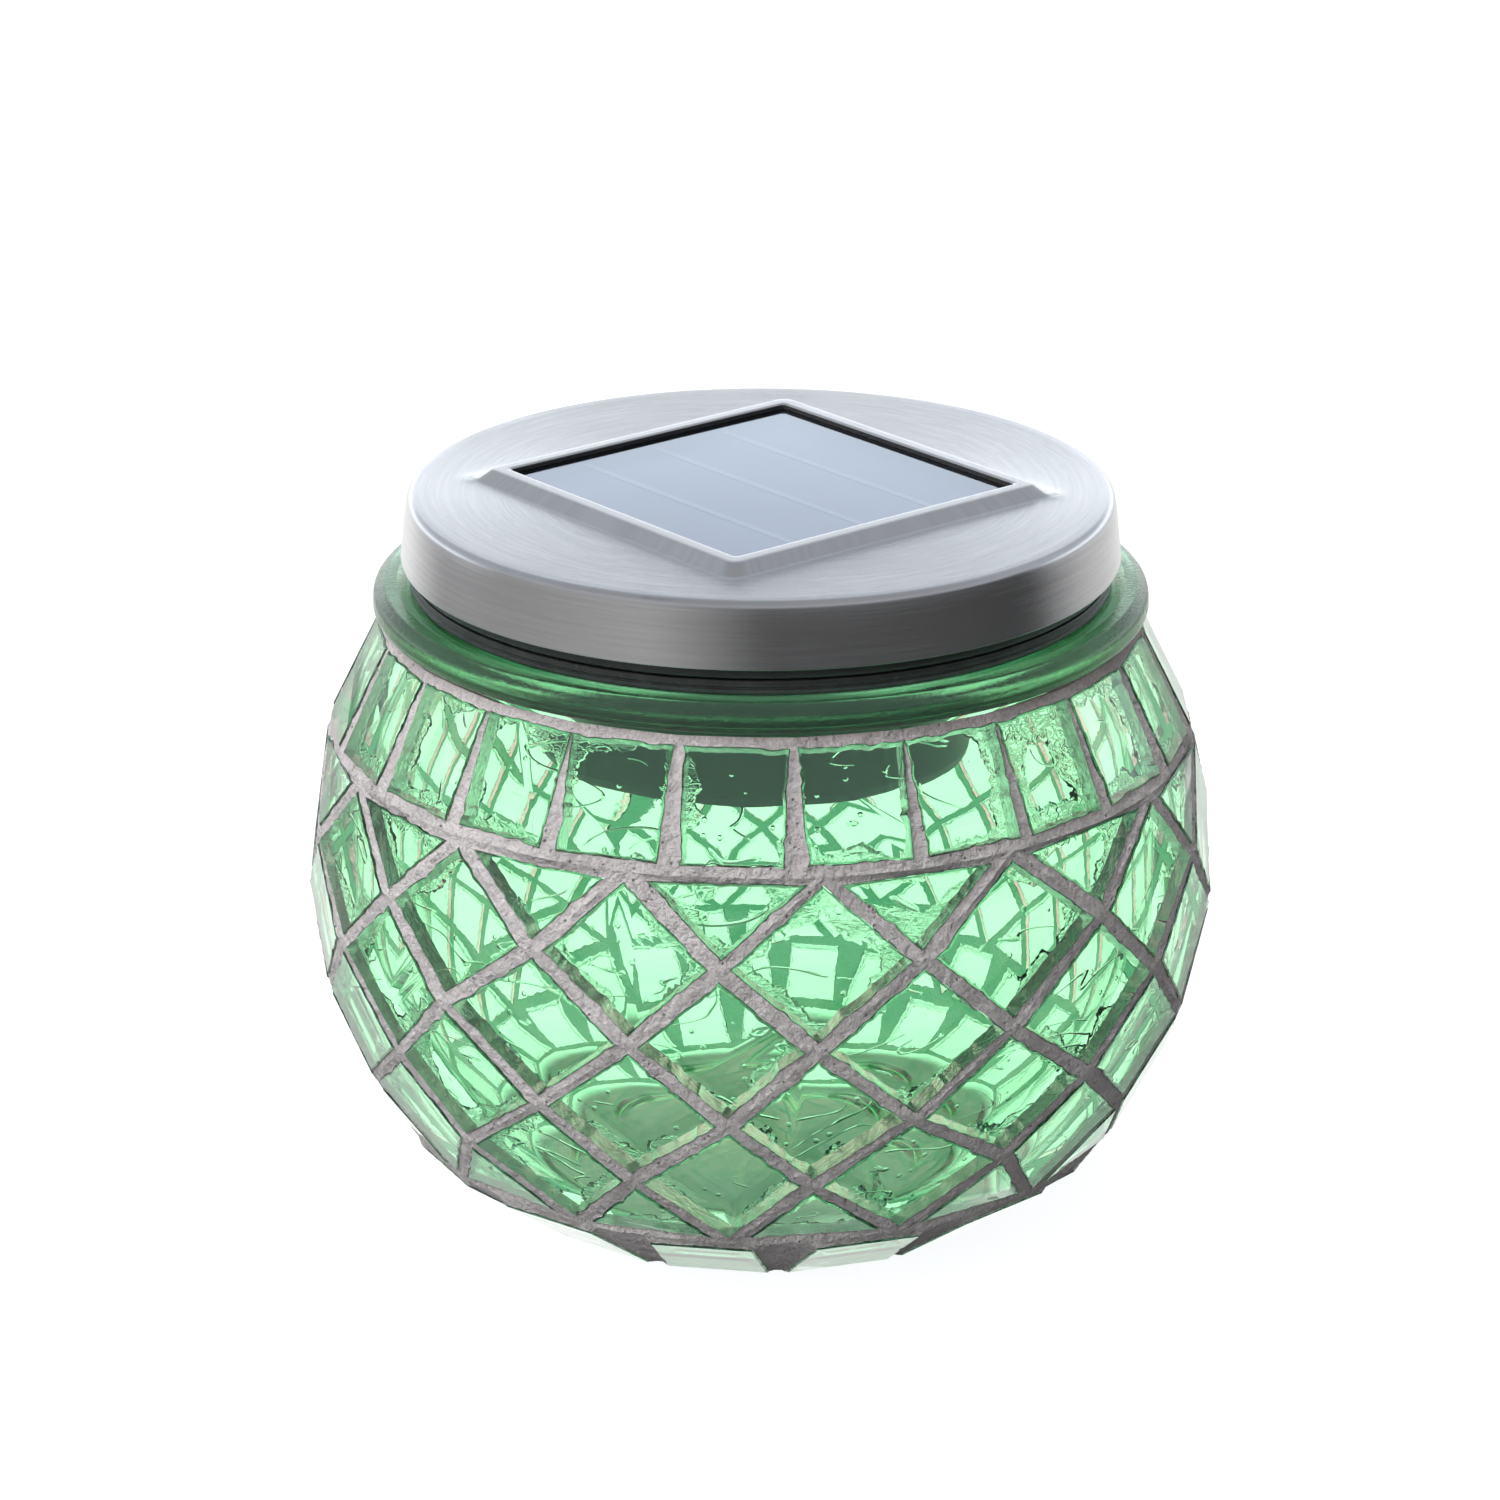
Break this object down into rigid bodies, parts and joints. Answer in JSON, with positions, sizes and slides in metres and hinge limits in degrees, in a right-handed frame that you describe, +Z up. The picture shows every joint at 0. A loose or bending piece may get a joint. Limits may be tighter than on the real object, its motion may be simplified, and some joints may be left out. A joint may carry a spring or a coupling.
{
  "type": "mosaic glass solar jar lantern",
  "caption": "Round green glass jar lantern faced with grouted glass tiles; brushed steel solar lid lifts off and carries the lamp, cell and switch in a black housing.",
  "frame": {"origin": "centre of the jar's flat base ring, on the table", "axes": "+Z up along the jar's and the lid's common axis; -Y is the side the picture shows; +X to its right"},
  "size_m": [0.1149, 0.1151, 0.0941],
  "materials": {
    "green_glass": "clear green-tinted moulded glass, frosted on the rim",
    "clear_tile_glass": "flat cut glass tile on a green, rippled clear adhesive film",
    "grout": "rough grey cement grout, matt",
    "seal_rubber": "black rubber",
    "lid_steel": "stainless sheet, spun brushing round the axis",
    "gasket_foam": "black foam",
    "panel_cover": "glossy clear cover over the cells",
    "solar_silicon": "dark blue silicon with fine silver grid lines",
    "circuit_laminate": "green solder mask",
    "black_plastic": "moulded black plastic, fine texture",
    "lamp_lens": "clear epoxy lamp",
    "choke_body": "lacquered choke",
    "screw_steel": "zinc-plated steel",
    "contact_metal": "nickel-plated spring steel",
    "cell_wrap": "green shrink sleeve, plain",
    "wire_red": "red insulated wire",
    "wire_black": "black insulated wire"
  },
  "bodies": {
    "jar": {"glass_jar": "green_glass", "grout_lattice": "grout", "tiles_upper_rectangles": "clear_tile_glass", "tiles_upper_triangles": "clear_tile_glass", "tiles_diamond_course_1": "clear_tile_glass", "tiles_diamond_course_2": "clear_tile_glass", "tiles_diamond_course_3": "clear_tile_glass", "tiles_diamond_course_4": "clear_tile_glass", "tiles_lower_triangles": "clear_tile_glass", "tiles_base_rectangles": "clear_tile_glass"},
    "seal": {"neck_seal_ring": "seal_rubber"},
    "lid": {"steel_lid_cap": "lid_steel", "panel_gasket": "gasket_foam", "panel_cover_plate": "panel_cover", "solar_cell_1": "solar_silicon", "solar_cell_2": "solar_silicon", "solar_cell_3": "solar_silicon", "solar_cell_4": "solar_silicon", "panel_board": "circuit_laminate", "lid_tray": "black_plastic", "electronics_cup": "black_plastic", "housing_screw_1": "screw_steel", "housing_screw_2": "screw_steel", "housing_screw_3": "screw_steel", "housing_screw_4": "screw_steel", "circuit_board": "circuit_laminate", "board_screw_1": "screw_steel", "board_screw_2": "screw_steel", "led_lamp": "lamp_lens", "driver_chip": "black_plastic", "choke_coil": "choke_body", "switch_body": "screw_steel", "contact_plate_positive": "contact_metal", "contact_spring_negative": "contact_metal", "panel_wire_red": "wire_red", "panel_wire_black": "wire_black", "cell_wire_red": "wire_red", "cell_wire_black": "wire_black"},
    "switch_knob": {"switch_knob": "black_plastic"},
    "battery_cover": {"battery_cover": "black_plastic", "cover_screw": "screw_steel"},
    "battery": {"battery_cell": "cell_wrap"}
  },
  "joints": [
    {"name": "lid_lift", "type": "slide", "parent": "jar", "child": "seal", "axis": [0, 0, 1], "range_m": [0, 0.06]},
    {"name": "lid_turn", "type": "hinge", "parent": "seal", "child": "lid", "pos_m": [0, 0, 0.0845], "axis": [0, 0, 1], "continuous": true},
    {"name": "switch_slide", "type": "slide", "parent": "lid", "child": "switch_knob", "axis": [1, 0, 0], "range_m": [0, 0.002]},
    {"name": "battery_cover_lift", "type": "slide", "parent": "lid", "child": "battery_cover", "axis": [0, 0, -1], "range_m": [0, 0.03]},
    {"name": "battery_lift", "type": "slide", "parent": "lid", "child": "battery", "axis": [0, 0, -1], "range_m": [0, 0.015]}
  ],
  "couplings": [
    {"joint": "battery_lift", "follows": "battery_cover_lift", "ratio": 0.5}
  ]
}
